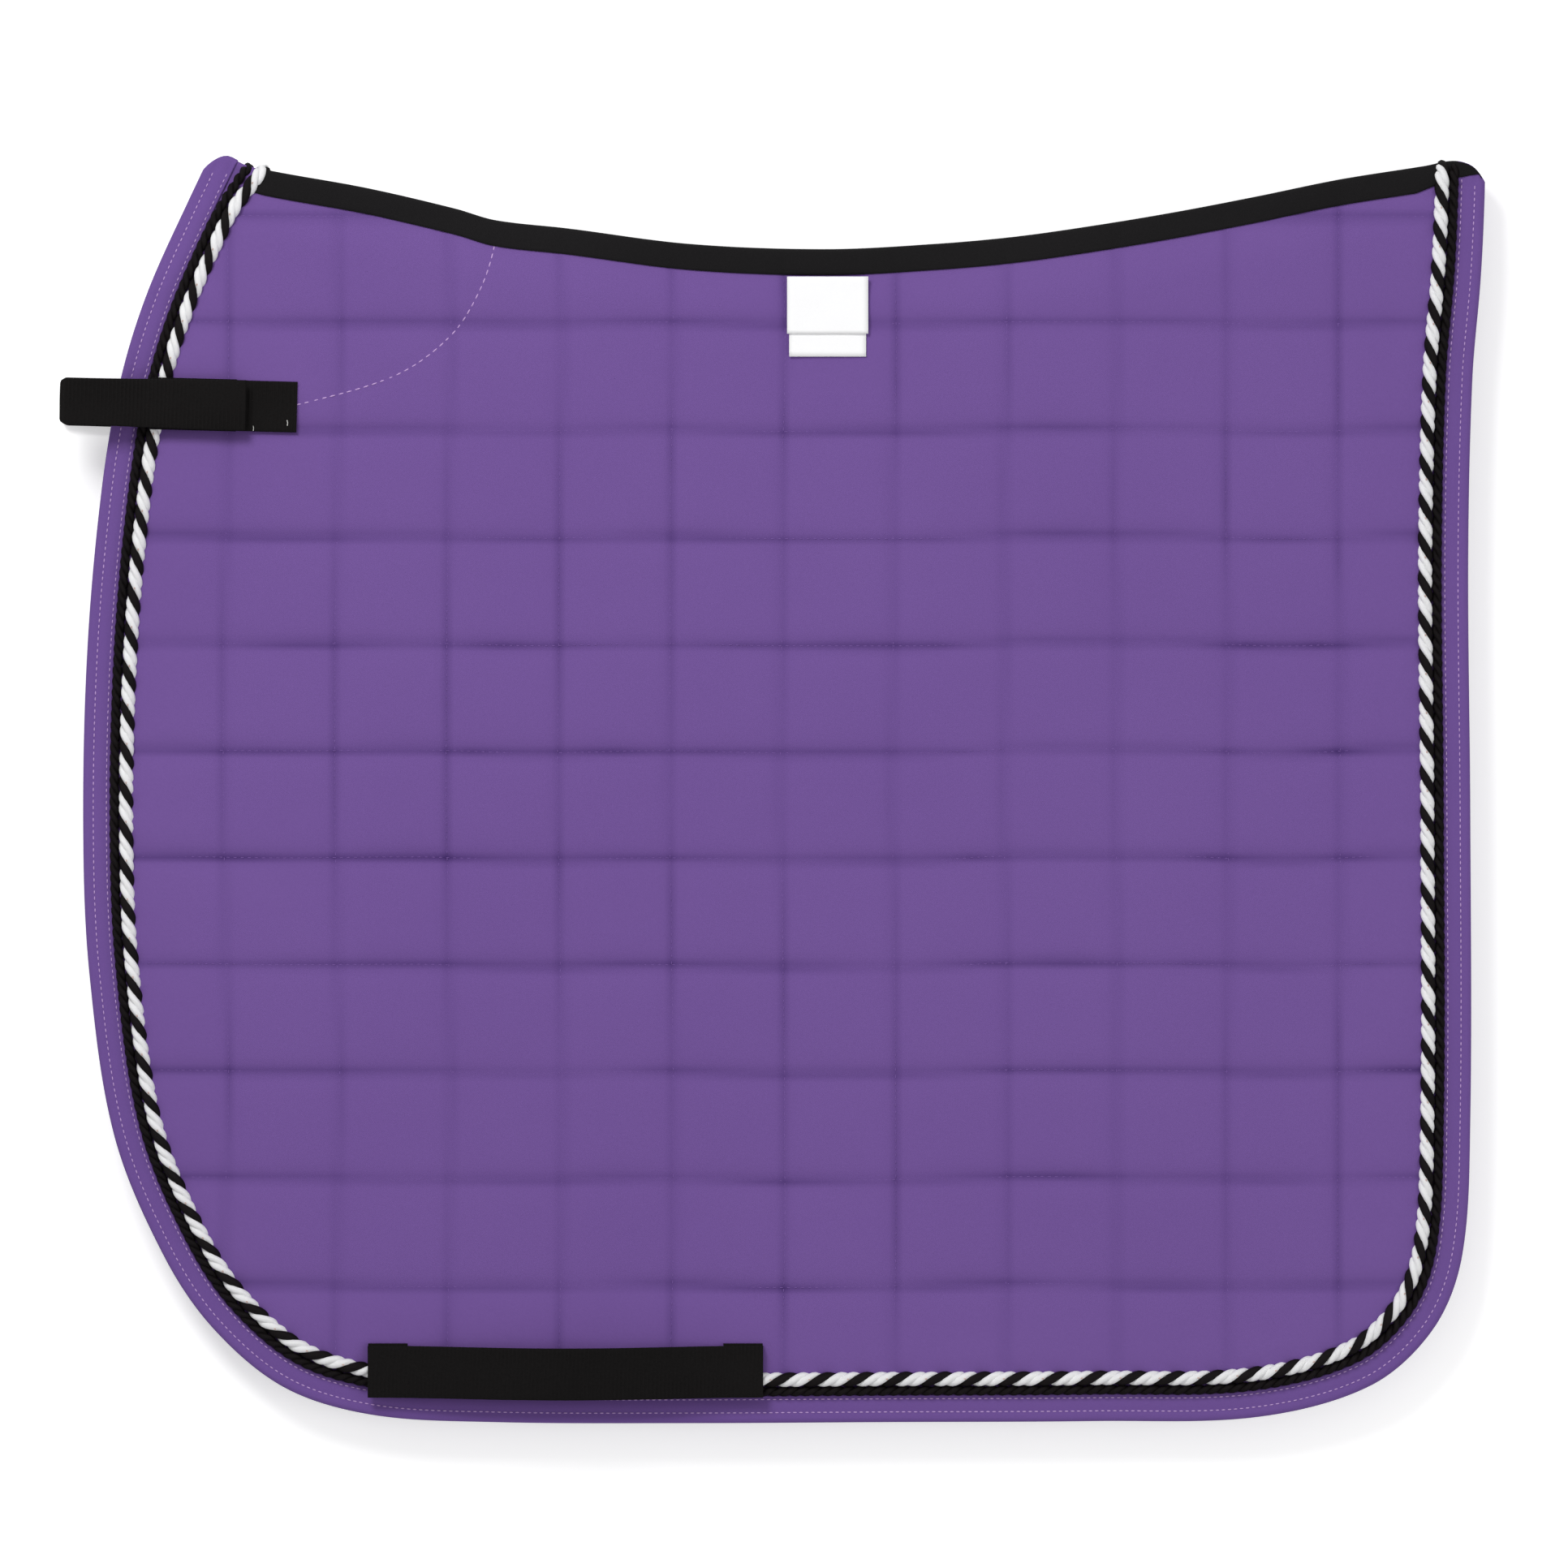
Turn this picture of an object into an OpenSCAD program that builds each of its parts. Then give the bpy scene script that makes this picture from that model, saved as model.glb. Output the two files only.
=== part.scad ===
// Saddle pad, dressage cut, folded in half at the spine and lying flat.
// The near flap is on top, the off flap is its mirror image below.
// +X runs to the rear edge, +Y to the spine, +Z up through the fold.

/* [Outline] */
// Length from the front edge to the rear edge
pad_l = 674; // [562:2:740]
// Height from the bottom edge to the top of the withers
pad_h = 610; // [508:2:680]
// Distance from the lowest point of the spine down to the line at which the near flap bends
bend_drop = 15.5; // [14.5:0.5:24]

/* [Quilt] */
// Thickness of the cover cloth and of the lining cloth
cloth_t = 0.8; // [0.5:0.1:1.2]
// Thickness of the padding
padding_t = 8.8; // [6:0.2:14]
// Gap between the linings of the two flaps
fold_gap = 0.6; // [0.4:0.1:2]
// Thickness of the wither patch under the cover
patch_t = 0.8; // [0.5:0.1:1.5]

/* [Edge] */
// Width of the edge binding on each face
binding_w = 13; // [10:0.5:16]
// Width of the spine binding on each face
spine_w = 12.5; // [9:0.5:13]
// Diameter of the twisted cord
twisted_d = 7.3; // [5:0.1:9]
// Diameter of the black cord
black_d = 4; // [3:0.1:5]
// Gap between pieces that lie side by side
clear = 0.1; // [0.05:0.05:0.3]

/* [Webbing] */
// Width of the billet strap and of the girth loop
webbing_w = 25; // [20:0.5:30]
// Thickness of one layer of webbing
webbing_t = 1.5; // [1:0.1:2]
// Thickness of the hook tape, and of the loop tape
fastener_t = 1; // [0.8:0.1:1.4]
// Height that the girth loop stands off the cord on the near flap
bow_h = 7; // [5:0.5:12]
// Height of the eye at the folded end of the near billet strap
eye_h = 5; // [4.5:0.5:10]
// Length of the billet strap beyond its sewn box
strap_l = 89; // [80:1:110]
// Length of the sewn box
box_l = 23; // [18:1:30]
// Turn of the billet strap towards the spine
strap_tilt = 1.5; // [0:0.5:3]
// Length of the girth loop, with both tabs
girth_l = 190; // [160:2:220]
// Length of each sewn tab of the girth loop
tab_l = 19; // [14:1:26]

/* [Label] */
// Width of the label's upper layer
label_w = 39; // [30:1:50]
// Height of the label's upper layer
label_h = 25; // [20:1:28]
// Height of the label's under layer
label_under_h = 36; // [30:1:45]
// Thickness of each layer of the label
label_t = 0.5; // [0.3:0.1:1]

/* [Hidden] */

purple = [0.44, 0.33, 0.59];
band_purple = [0.40, 0.28, 0.56];
black = [0.09, 0.09, 0.09];
silver = [0.92, 0.92, 0.93];
wadding = [0.93, 0.91, 0.86];

// The outline's points are drawn for a pad of this length and height.
pattern_l = 674;
pattern_h = 610;
stretch = [pad_l / pattern_l, pad_h / pattern_h];
steps = 4;

// The front, bottom and rear edge, from above the withers round to above the rear corner.
edge_points = [
    [-266, 326], [-285, 286], [-306, 239], [-319, 197], [-328, 145], [-335, 67], [-337, -20],
    [-334, -89], [-322, -167], [-298, -225], [-274, -260], [-240, -288], [-198, -301],
    [-140, -304.5], [-45, -305], [50, -304.5], [150, -304], [228, -302], [282, -287],
    [312, -260], [326, -225], [330, -160], [330, -10], [329, 110], [331, 197],
    [335, 245], [337, 285], [338, 326]
];
// The spine, from beyond the rear corner to beyond the withers.
spine_points = [
    [350, 268], [337, 292], [331, 299.5], [322, 302], [308, 299.5], [267, 293], [228, 285],
    [189, 277.5], [150, 271], [111, 265.5], [72, 262], [20, 259.5], [-45, 262], [-104, 269.5],
    [-139, 273.5], [-158, 279], [-201, 289], [-248, 297.5], [-260, 301], [-268, 304.5],
    [-276, 301], [-284, 292], [-300, 272]
];
// The seam that closes the wither patch, from the spine down to the billet strap.
patch_points = [[-138, 330], [-139, 262], [-146, 240], [-160, 218], [-186, 199], [-232, 185]];

// Heights above the plane in which the pad is folded.
lining_z = fold_gap / 2;
core_z = lining_z + cloth_t;
cover_z = core_z + padding_t;
face_z = cover_z + cloth_t;
seam_z = (lining_z + face_z) / 2;
seat_z = seam_z + cloth_t;
cord_z = seat_z + clear;
cord_top = cord_z + twisted_d;
lift_gap = 0.3;
strap_z = max(cord_top, face_z) + lift_gap;
return_gap = 2 * fastener_t + lift_gap;
lift = strap_z + 2 * webbing_t + return_gap;

// Distances in from the outline.
black_in = binding_w + clear + black_d / 2;
twisted_in = binding_w + 2 * clear + black_d + twisted_d / 2;
core_in = binding_w + 3 * clear + black_d + twisted_d;

bend_gap = 0.6;
strap_x = -257;
strap_y = 184;
girth_x = -105;
girth_y = -280;
label_x = 21;

// A smooth curve through the points, with tangents that suit uneven spacing.
function slope(p, i) = (p[i + 1] - p[i - 1]) / (norm(p[i + 1] - p[i]) + norm(p[i] - p[i - 1]));
function span(p, i, t) =
    let (d = norm(p[i + 1] - p[i]), a = slope(p, i) * d, b = slope(p, i + 1) * d)
    (2 * t ^ 3 - 3 * t ^ 2 + 1) * p[i] + (t ^ 3 - 2 * t ^ 2 + t) * a
    + (3 * t ^ 2 - 2 * t ^ 3) * p[i + 1] + (t ^ 3 - t ^ 2) * b;
function smooth(p) = concat(
    [p[0]],
    [for (i = [1 : len(p) - 3]) for (k = [0 : steps - 1]) span(p, i, k / steps)],
    [p[len(p) - 2], p[len(p) - 1]]
);
function stretched(p) = [for (q = p) [q[0] * stretch[0], q[1] * stretch[1]]];

edge = smooth(stretched(edge_points));
spine = smooth(stretched(spine_points));
far = 2 * pad_l;
dip_y = stretch[1] * min([for (p = spine_points) if (abs(p[0]) < pattern_l / 3) p[1]]);
bend_y = dip_y - bend_drop;

// The outward direction at each point of the edge.
function outward(p, i) =
    let (d = p[min(i + 1, len(p) - 1)] - p[max(i - 1, 0)])
    [d[1], -d[0]] / norm(d);
edge_out = [for (i = [0 : len(edge) - 1]) outward(edge, i)];
function inset(d) = [for (i = [0 : len(edge) - 1]) edge[i] - d * edge_out[i]];
function lowered(s) = [for (p = spine) [p[0], p[1] - s]];
spine_rising = [for (i = [len(spine) - 1 : -1 : 0]) spine[i]];
function spine_at(x) = lookup(x, spine_rising);

// Everything inside a line that runs a distance d in from the edge, open at the spine.
module inside_edge(d) {
    polygon(inset(d));
}

// Everything below a line that runs a height s under the spine.
module below_spine(s) {
    polygon(concat(lowered(s), [[-far, 272 - s], [-far, -far], [far, -far], [far, 268 - s]]));
}

// The flap lies below the bend line and the ridge above it.
module part_of(part) {
    if (part == "flap") {
        translate([-far, -far]) square([2 * far, far + bend_y - bend_gap / 2]);
    }
    if (part == "ridge") {
        translate([-far, bend_y + bend_gap / 2]) square([2 * far, far]);
    }
    if (part == "whole") {
        square(2 * far, center = true);
    }
}

// A flat layer of the pad between two heights, d in from the edge and s under the spine.
module layer(part, low, high, d, s) {
    translate([0, 0, low]) {
        linear_extrude(high - low) {
            intersection() {
                inside_edge(d);
                below_spine(s);
                part_of(part);
            }
        }
    }
}

// The way that the cords take over the ridge, to a depth h under the spine.
notch_h = twisted_d + 3;
module cord_way(h) {
    translate([0, 0, -far]) {
        linear_extrude(2 * far) {
            difference() {
                inside_edge(binding_w);
                inside_edge(core_in);
                below_spine(h);
            }
        }
    }
}

// One face cloth, with the skirt round the padding and the flange at the seam.
hem = 1;
module face_cloth(part) {
    difference() {
        union() {
            layer(part, seam_z, face_z, core_in, hem);
            layer(part, seam_z, seat_z, hem, hem);
        }
        layer(part, seam_z - 1, cover_z, core_in + cloth_t, hem + cloth_t);
        cord_way(notch_h);
    }
}

module cover(part) {
    color(purple) face_cloth(part);
}

module lining(part) {
    color(purple) translate([0, 0, 2 * seam_z]) mirror([0, 0, 1]) face_cloth(part);
}

// The wither patch lies in front of its seam, on top of the padding.
module patch_shape() {
    curve = smooth(stretched(patch_points));
    foot = curve[len(curve) - 1];
    intersection() {
        polygon(concat(curve, [[-far, foot[1]], [-far, far], [foot[0], far]]));
        square(2 * far, center = true);
    }
}

module wither_patch(part) {
    color(purple) {
        intersection() {
            layer(part, cover_z - patch_t, cover_z, core_in + cloth_t + clear, hem + cloth_t + clear);
            translate([0, 0, core_z]) linear_extrude(padding_t) patch_shape();
        }
    }
}

module padding(part) {
    color(wadding) {
        difference() {
            layer(part, core_z, cover_z, core_in + cloth_t + clear, hem + cloth_t + clear);
            translate([0, 0, cover_z - patch_t]) linear_extrude(padding_t) patch_shape();
            cord_way(notch_h);
        }
    }
}

// The band wraps the flanges of both face cloths, and is open towards the middle of the pad.
module edge_binding(part) {
    color(band_purple) {
        difference() {
            layer(part, seam_z - 2 * cloth_t, seam_z + 2 * cloth_t, 0, 0);
            layer(part, seam_z - cloth_t, seam_z + cloth_t, hem, 0);
            translate([0, 0, seam_z - padding_t]) {
                linear_extrude(2 * padding_t) inside_edge(binding_w);
            }
            tape_way();
        }
    }
}

// The spine binding runs from the front cord to the rear corner.
tape_front = -247;
module tape_way() {
    translate([0, 0, -far]) {
        linear_extrude(2 * far) {
            difference() {
                translate([tape_front * stretch[0], 0]) square([far, far]);
                below_spine(hem + cloth_t + clear);
            }
        }
    }
}

module spine_binding() {
    color(black) {
        difference() {
            translate([0, 0, -face_z - cloth_t]) {
                linear_extrude(2 * (face_z + cloth_t)) {
                    difference() {
                        intersection() {
                            inside_edge(0);
                            below_spine(0);
                            translate([tape_front * stretch[0], 0]) square([far, far]);
                        }
                        below_spine(spine_w);
                    }
                }
            }
            translate([0, 0, -face_z]) linear_extrude(2 * face_z) below_spine(hem - clear);
            cord_way(max(notch_h, spine_w + clear));
        }
    }
}

// A tube through the points; each section stands on the side direction given for its point.
module tube(points, sides, d, corners) {
    last = len(points) - 1;
    ahead = [for (i = [0 : last]) points[min(i + 1, last)] - points[max(i - 1, 0)]];
    rings = [
        for (i = [0 : last]) for (k = [0 : corners - 1])
            let (up = cross(sides[i], ahead[i] / norm(ahead[i])), a = 360 * k / corners)
            points[i] + d / 2 * (cos(a) * sides[i] + sin(a) * up / norm(up))
    ];
    walls = [
        for (i = [0 : last - 1]) for (k = [0 : corners - 1])
            let (a = i * corners + k, b = i * corners + (k + 1) % corners)
            [a, a + corners, b + corners, b]
    ];
    foot = [for (k = [0 : corners - 1]) k];
    head = [for (k = [corners - 1 : -1 : 0]) last * corners + k];
    polyhedron(rings, concat(walls, [foot, head]));
}

// The points of a cord's line on one face, as [x, y, index of the edge point].
function cord_line(d) = [
    for (i = [0 : len(edge) - 1]) let (p = edge[i] - d * edge_out[i]) [p[0], p[1], i]
];
function crossing(a, b, y) = let (t = (y - a[1]) / (b[1] - a[1])) a + t * (b - a);

// A line cut to what lies below a height, with its two ends exactly at that height.
function cut_below(line, y) =
    let (low = [for (i = [0 : len(line) - 1]) if (line[i][1] < y) i],
         a = low[0], b = low[len(low) - 1])
    concat(
        [crossing(line[a - 1], line[a], y)],
        [for (i = [a : b]) line[i]],
        [crossing(line[b], line[b + 1], y)]
    );
function side_of(p) =
    let (i = floor(p[2]), v = edge_out[i] + (p[2] - i) * (edge_out[min(i + 1, len(edge) - 1)] - edge_out[i]))
    [v[0], v[1], 0] / norm(v);

module flap_cord(d_in, d, corners) {
    line = cut_below(cord_line(d_in), bend_y - bend_gap / 2);
    points = [for (p = line) [p[0], p[1], cord_z + d / 2]];
    tube(points, [for (p = line) side_of(p)], d, corners);
}

// The rest of the cord: up the ridge, over it, round the off flap and back over the ridge.
over_h = twisted_d / 2 + clear;
function above(p) = p[1] - spine_at(p[0]) + over_h;
function ridge_point(a, b) = a + above(a) / (above(a) - above(b)) * (b - a);
function wrap(top, z, from, to) = [
    for (a = [from : sign(to - from) * 30 : to]) [top[0], top[1], z * sin(a), top[2]]
];

module ridge_cord(d_in, d, corners) {
    z = cord_z + d / 2;
    line = cord_line(d_in);
    under = [for (i = [0 : len(line) - 1]) if (above(line[i]) < -d / 2) i];
    first = under[0];
    last = under[len(under) - 1];
    front = ridge_point(line[first], line[first - 1]);
    rear = ridge_point(line[last], line[last + 1]);
    low = bend_y + bend_gap / 2;
    cut = cut_below(line, low);
    off = [for (i = [first : last]) line[i]];
    climb = [for (i = [len(off) - 1 : -1 : 0]) if (off[i][0] < 0 && off[i][1] > low) off[i]];
    fall = [for (i = [len(off) - 1 : -1 : 0]) if (off[i][0] > 0 && off[i][1] > low) off[i]];
    route = concat(
        [[cut[0][0], cut[0][1], z, cut[0][2]]],
        [for (p = climb) [p[0], p[1], z, p[2]]],
        wrap(front, z, 90, -90),
        [for (p = off) [p[0], p[1], -z, p[2]]],
        wrap(rear, z, -90, 90),
        [for (p = fall) [p[0], p[1], z, p[2]]],
        [[cut[len(cut) - 1][0], cut[len(cut) - 1][1], z, cut[len(cut) - 1][2]]]
    );
    tube(
        [for (p = route) [p[0], p[1], p[2]]],
        [for (p = route) side_of([p[0], p[1], p[3]])],
        d, corners
    );
}

twisted_corners = 8;
black_corners = 6;

// The billet strap stands in its own line, from its sewn box at x = 0 towards -X.
module on_strap_line() {
    translate([strap_x * stretch[0], strap_y * stretch[1], 0]) rotate([0, 0, -strap_tilt]) children();
}

module strip(x0, x1, z0, z1) {
    translate([x0, -webbing_w / 2, z0]) cube([x1 - x0, webbing_w, z1 - z0]);
}

module profile() {
    translate([0, webbing_w / 2, 0]) rotate([90, 0, 0]) linear_extrude(webbing_w) children();
}

module strap_box() {
    color(black) on_strap_line() strip(0, box_l, face_z, face_z + webbing_t);
}

strap_start = -1;
module strap_webbing() {
    color(black) on_strap_line() strip(-strap_l, strap_start, strap_z, strap_z + webbing_t);
}

// The fastener tapes fill the closed stretch between the strap's two layers.
fastener_l = 42;
fastener_x = -6;
module hook_tape() {
    color(black) {
        on_strap_line() {
            strip(
                fastener_x - fastener_l, fastener_x,
                strap_z + webbing_t, strap_z + webbing_t + fastener_t
            );
        }
    }
}

module loop_tape() {
    low = strap_z + webbing_t + fastener_t + lift_gap;
    color(black) {
        on_strap_line() strip(fastener_x - fastener_l, fastener_x, low, low + fastener_t);
    }
}

// The returning layer: up round the folded end, over the eye and down onto the tapes.
eye_l = 27;
slope_l = 12;
module strap_return(gap) {
    low = strap_z + webbing_t + return_gap;
    high = strap_z + webbing_t + gap;
    end = -strap_l - lift_gap;
    color(black) {
        on_strap_line() {
            profile() {
                polygon([
                    [end, strap_z], [end, high], [-strap_l + eye_l, high],
                    [-strap_l + eye_l + slope_l, low], [fastener_x + 4, low],
                    [fastener_x + 4, low + webbing_t],
                    [-strap_l + eye_l + slope_l, low + webbing_t],
                    [-strap_l + eye_l, high + webbing_t], [end - webbing_t, high + webbing_t],
                    [end - webbing_t, strap_z]
                ]);
            }
        }
    }
}

// The height at which the quilted face begins, x along from the girth loop's middle.
core_low = [for (p = inset(core_in + clear)) if (p[1] < -pad_h / 3) p];
function core_at(x) = lookup(girth_x * stretch[0] + x, core_low);

// The girth loop: two sewn tabs, and between them webbing that bows off the pad.
bow_steps = 16;
module girth_loop(bow) {
    half = girth_l / 2;
    free = half - tab_l;
    arch = [for (k = [0 : bow_steps]) let (u = k / bow_steps)
        [-free + 2 * free * u, strap_z + bow * sin(180 * u)]];
    roof = [for (k = [bow_steps : -1 : 0]) arch[k] + [0, webbing_t]];
    color(black) {
        translate([girth_x * stretch[0], girth_y * stretch[1], 0]) {
            profile() {
                polygon(concat(
                    [[-half, strap_z]], arch,
                    [[half, strap_z], [half, strap_z + webbing_t]], roof,
                    [[-half, strap_z + webbing_t]]
                ));
            }
            for (x = [-half, half - tab_l]) {
                foot_y = max(core_at(x), core_at(x + tab_l)) - girth_y * stretch[1];
                translate([x, foot_y, face_z]) {
                    cube([tab_l, webbing_w / 2 - foot_y, strap_z - face_z]);
                }
            }
        }
    }
}

module label_layer(w, h, low) {
    color([0.97, 0.97, 0.97]) {
        translate([label_x * stretch[0] - w / 2, bend_y - bend_gap / 2 - h, low]) {
            cube([w, h, label_t]);
        }
    }
}

// The pad is moved so that the middle of its footprint is at the origin.
strap_end = strap_l + lift_gap + webbing_t;
low_x = strap_x * stretch[0] - strap_end * cos(strap_tilt) - webbing_w / 2 * sin(strap_tilt);
low_y = min([for (p = edge) p[1]]);
high_x = max([for (p = edge) if (p[1] < spine_at(p[0])) p[0]]);
high_y = max([for (p = spine) if (p[0] < 0) p[1]]);

module on_near() {
    translate([-(low_x + high_x) / 2, -(low_y + high_y) / 2, lift]) children();
}

module on_off() {
    on_near() mirror([0, 0, 1]) children();
}

label_step = 2;

on_off() cover("whole");  // off_cover
on_off() padding("whole");  // off_padding
on_off() lining("whole");  // off_lining
on_off() edge_binding("whole");  // off_binding
on_off() wither_patch("whole");  // off_wither_patch
union() {  // off_twisted_cord
    color(silver) on_near() ridge_cord(twisted_in, twisted_d, twisted_corners);
}
union() {  // off_black_cord
    color(black) on_near() ridge_cord(black_in, black_d, black_corners);
}
on_off() girth_loop(0);  // off_girth_loop
on_off() strap_box();  // off_strap_box
on_off() strap_webbing();  // off_strap_webbing
on_off() hook_tape();  // off_hook_tape
on_off() strap_return(return_gap);  // off_strap_return
on_off() loop_tape();  // off_loop_tape
on_near() spine_binding();
on_near() cover("ridge");  // ridge_cover
on_near() padding("ridge");  // ridge_padding
on_near() lining("ridge");  // ridge_lining
on_near() edge_binding("ridge");  // ridge_binding
on_near() wither_patch("ridge");  // ridge_wither_patch
on_near() cover("flap");  // near_cover
on_near() padding("flap");  // near_padding
on_near() lining("flap");  // near_lining
on_near() edge_binding("flap");  // near_binding
on_near() wither_patch("flap");  // near_wither_patch
union() {  // near_twisted_cord
    color(silver) on_near() flap_cord(twisted_in, twisted_d, twisted_corners);
}
union() {  // near_black_cord
    color(black) on_near() flap_cord(black_in, black_d, black_corners);
}
on_near() girth_loop(bow_h);  // near_girth_loop
on_near() strap_box();  // near_strap_box
on_near() strap_webbing();  // near_strap_webbing
on_near() hook_tape();  // near_hook_tape
on_near() strap_return(eye_h);  // near_strap_return
on_near() loop_tape();  // near_loop_tape
union() {  // label
    on_near() label_layer(label_w, label_h, face_z + label_t);
}
union() {  // label_under
    on_near() label_layer(label_w - label_step, label_under_h, face_z);
}
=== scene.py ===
# %% [markdown]
# # A quilted saddle pad, folded at its spine
# This lesson dresses a finished construction model of a dressage saddle pad. The model gives every
# place and size; the cells below give the cloth, cords, tape and webbing their real shape and finish.
# The pad lies folded in half: the near flap on top, the off flap beneath it as a mirror image.
# The frame is loaded first, because every later piece is placed from it.

# %% Load the construction model
import math

import bpy
import numpy as np
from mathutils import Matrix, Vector, geometry


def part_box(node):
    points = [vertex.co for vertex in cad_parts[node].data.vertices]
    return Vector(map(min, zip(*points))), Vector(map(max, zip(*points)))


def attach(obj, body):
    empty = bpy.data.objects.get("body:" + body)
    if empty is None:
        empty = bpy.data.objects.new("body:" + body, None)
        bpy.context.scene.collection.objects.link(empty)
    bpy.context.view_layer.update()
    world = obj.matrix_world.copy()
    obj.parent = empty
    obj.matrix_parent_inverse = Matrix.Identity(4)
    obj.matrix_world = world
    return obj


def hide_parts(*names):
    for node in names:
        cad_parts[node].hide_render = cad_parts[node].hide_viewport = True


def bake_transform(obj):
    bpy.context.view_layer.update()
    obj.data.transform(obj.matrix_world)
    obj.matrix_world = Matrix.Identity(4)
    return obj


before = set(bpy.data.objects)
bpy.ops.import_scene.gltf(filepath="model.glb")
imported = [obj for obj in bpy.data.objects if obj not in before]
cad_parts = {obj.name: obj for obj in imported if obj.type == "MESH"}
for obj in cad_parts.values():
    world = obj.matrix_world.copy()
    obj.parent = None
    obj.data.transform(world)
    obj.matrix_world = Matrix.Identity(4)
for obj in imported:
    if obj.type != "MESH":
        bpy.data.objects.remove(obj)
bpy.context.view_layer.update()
MM = 0.001

# %% [markdown]
# ## The outline
# A saddle pad's shape is two lines: the edge, which runs down the front, along the bottom and up the
# rear, and the spine, which dips behind the withers. A few listed points carry each line, and a
# cubic through them gives the smooth curve that a cutter would follow.

# %% The two lines
EDGE_POINTS = np.array([
    [-266, 326], [-285, 286], [-306, 239], [-319, 197], [-328, 145], [-335, 67], [-337, -20],
    [-334, -89], [-322, -167], [-298, -225], [-274, -260], [-240, -288], [-198, -301],
    [-140, -304.5], [-45, -305], [50, -304.5], [150, -304], [228, -302], [282, -287],
    [312, -260], [326, -225], [330, -160], [330, -10], [329, 110], [331, 197],
    [335, 245], [337, 285], [338, 326]], float)
SPINE_POINTS = np.array([
    [-300, 272], [-284, 292], [-276, 301], [-268, 304.5], [-260, 301], [-248, 297.5],
    [-201, 289], [-158, 279], [-139, 273.5], [-104, 269.5], [-45, 262], [20, 259.5],
    [72, 262], [111, 265.5], [150, 271], [189, 277.5], [228, 285], [267, 293],
    [308, 299.5], [322, 302], [331, 299.5], [337, 292], [350, 268]], float)


def smooth_line(points, steps=14):
    """A cubic through the points, with tangents that suit uneven spacing."""
    steps_between = np.linalg.norm(np.diff(points, axis=0), axis=1)
    slopes = [(points[i + 1] - points[i - 1]) / (steps_between[i] + steps_between[i - 1])
              for i in range(1, len(points) - 1)]
    line = [points[0]]
    for i in range(1, len(points) - 2):
        d = steps_between[i]
        a, b = slopes[i - 1] * d, slopes[i] * d
        for t in np.arange(steps) / steps:
            line.append((2 * t**3 - 3 * t**2 + 1) * points[i] + (t**3 - 2 * t**2 + t) * a
                        + (3 * t**2 - 2 * t**3) * points[i + 1] + (t**3 - t**2) * b)
    return np.array(line + [points[-2], points[-1]])


def respaced(line, count):
    """The same line with its points evenly spaced."""
    run = np.concatenate([[0], np.cumsum(np.linalg.norm(np.diff(line[:, :2], axis=0), axis=1))])
    at = np.linspace(0, run[-1], count)
    return np.stack([np.interp(at, run, line[:, k]) for k in range(line.shape[1])], axis=1)


edge = respaced(smooth_line(EDGE_POINTS), 900)
spine = smooth_line(SPINE_POINTS)
ahead = np.gradient(edge, axis=0)
edge_out = np.stack([ahead[:, 1], -ahead[:, 0]], axis=1)
edge_out /= np.linalg.norm(edge_out, axis=1)[:, None]
band_low = np.array(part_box("off_binding")[0]) / MM
shift = band_low[:2] - edge.min(axis=0)
print("outline length, mm:", round(float(np.linalg.norm(np.diff(edge, axis=0), axis=1).sum())))

# %% [markdown]
# ## Heights through the fold
# Everything is measured from the plane in which the pad is folded. The near flap lies above that
# plane and the off flap below it, so one set of functions serves both with the height's sign turned.

# %% Heights, in millimetres from the folding plane
near_lining_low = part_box("near_lining")[0][2] / MM
off_lining_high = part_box("off_lining")[1][2] / MM
FOLD_Z = (near_lining_low + off_lining_high) / 2
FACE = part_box("near_cover")[1][2] / MM - FOLD_Z
SEAM = (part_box("near_binding")[0][2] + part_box("near_binding")[1][2]) / 2 / MM - FOLD_Z
CORD_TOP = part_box("near_twisted_cord")[1][2] / MM - FOLD_Z
BEND_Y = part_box("near_cover")[1][1] / MM - shift[1]
print("face", round(FACE, 2), "seam", round(SEAM, 2), "cord top", round(CORD_TOP, 2))


def ease(t):
    """A smooth step from 0 to 1."""
    t = np.clip(t, 0, 1)
    return t * t * (3 - 2 * t)


def crown(t):
    """A quarter circle's rise from 0 to 1."""
    t = np.clip(t, 0, 1)
    return np.sqrt(1 - (1 - t) ** 2)


def spine_at(x):
    return np.interp(x, spine[:, 0], spine[:, 1])


def under_spine(x, y):
    return spine_at(x) - y


def inside_by(x, y):
    """How far each point lies in from the edge."""
    found = []
    for part in np.array_split(np.stack([x, y], axis=1), max(1, len(x) // 2000)):
        gap = part[:, None, :] - edge[None, ::2, :]
        found.append(np.sqrt((gap ** 2).sum(axis=2).min(axis=1)))
    return np.concatenate(found)


RIDGE_SEAM = 2.1  # height of the edge seam where it meets the spine
RIDGE_FADE = 34  # distance below the spine at which the seam has its full height


def middle(x, y):
    """The height of the edge seam, which comes down to the fold at the spine."""
    return RIDGE_SEAM + (SEAM - RIDGE_SEAM) * ease(under_spine(x, y) / RIDGE_FADE)


def to_frame(points, side=1):
    """Millimetres of the drawing to metres of the frame; side -1 is the off flap."""
    moved = np.array(points, float)
    moved[:, 0] += shift[0]
    moved[:, 1] += shift[1]
    moved[:, 2] = side * moved[:, 2] + FOLD_Z
    return moved * MM


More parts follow.
